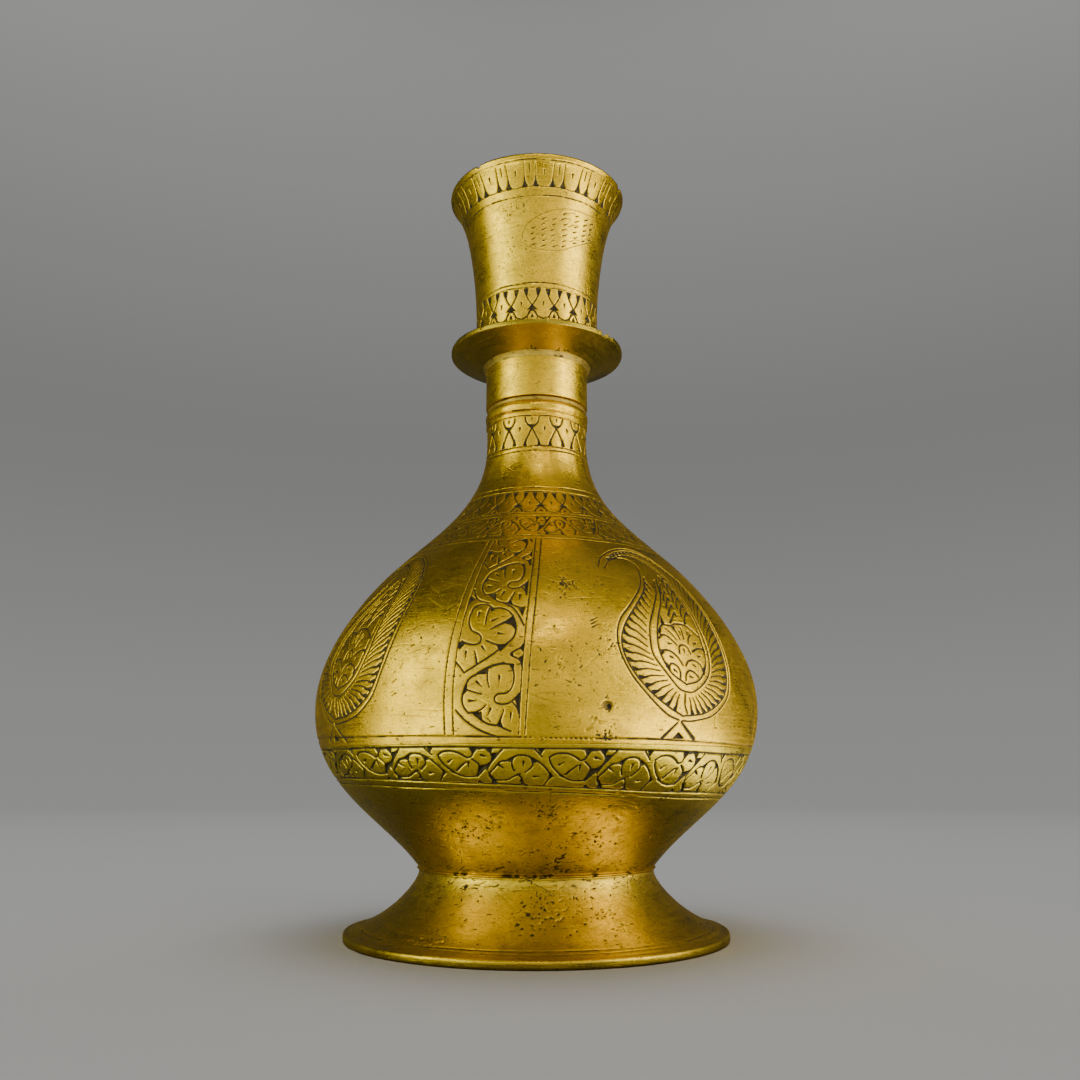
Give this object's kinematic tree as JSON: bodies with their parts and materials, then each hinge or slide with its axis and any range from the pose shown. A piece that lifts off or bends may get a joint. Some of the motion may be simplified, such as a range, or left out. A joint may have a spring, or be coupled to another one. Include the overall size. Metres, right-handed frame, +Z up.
{
  "type": "engraved brass bottle",
  "caption": "Round-bellied long-necked brass bottle with a hollow spreading foot, a drip flange and a flared mouth cup, engraved with scroll bands, upright panels and paisleys.",
  "frame": {"origin": "on the bottle's axis, in the plane that the foot stands on", "axes": "+Z up along the bottle's axis, -Y towards the front, where an upright scroll panel is near the middle"},
  "size_m": [0.1116, 0.1116, 0.2],
  "materials": {
    "brass": "worn satin, aged, with dark patina in the engraving and pits",
    "solder": "dull grey soft solder, rough"
  },
  "bodies": {
    "root": {"foot": "brass", "lower_bowl": "brass", "upper_bowl": "brass", "neck_sleeve": "brass", "drip_flange": "brass", "mouth_cup": "brass", "waist_solder": "solder", "neck_solder": "solder", "flange_solder": "solder"}
  },
  "joints": []
}
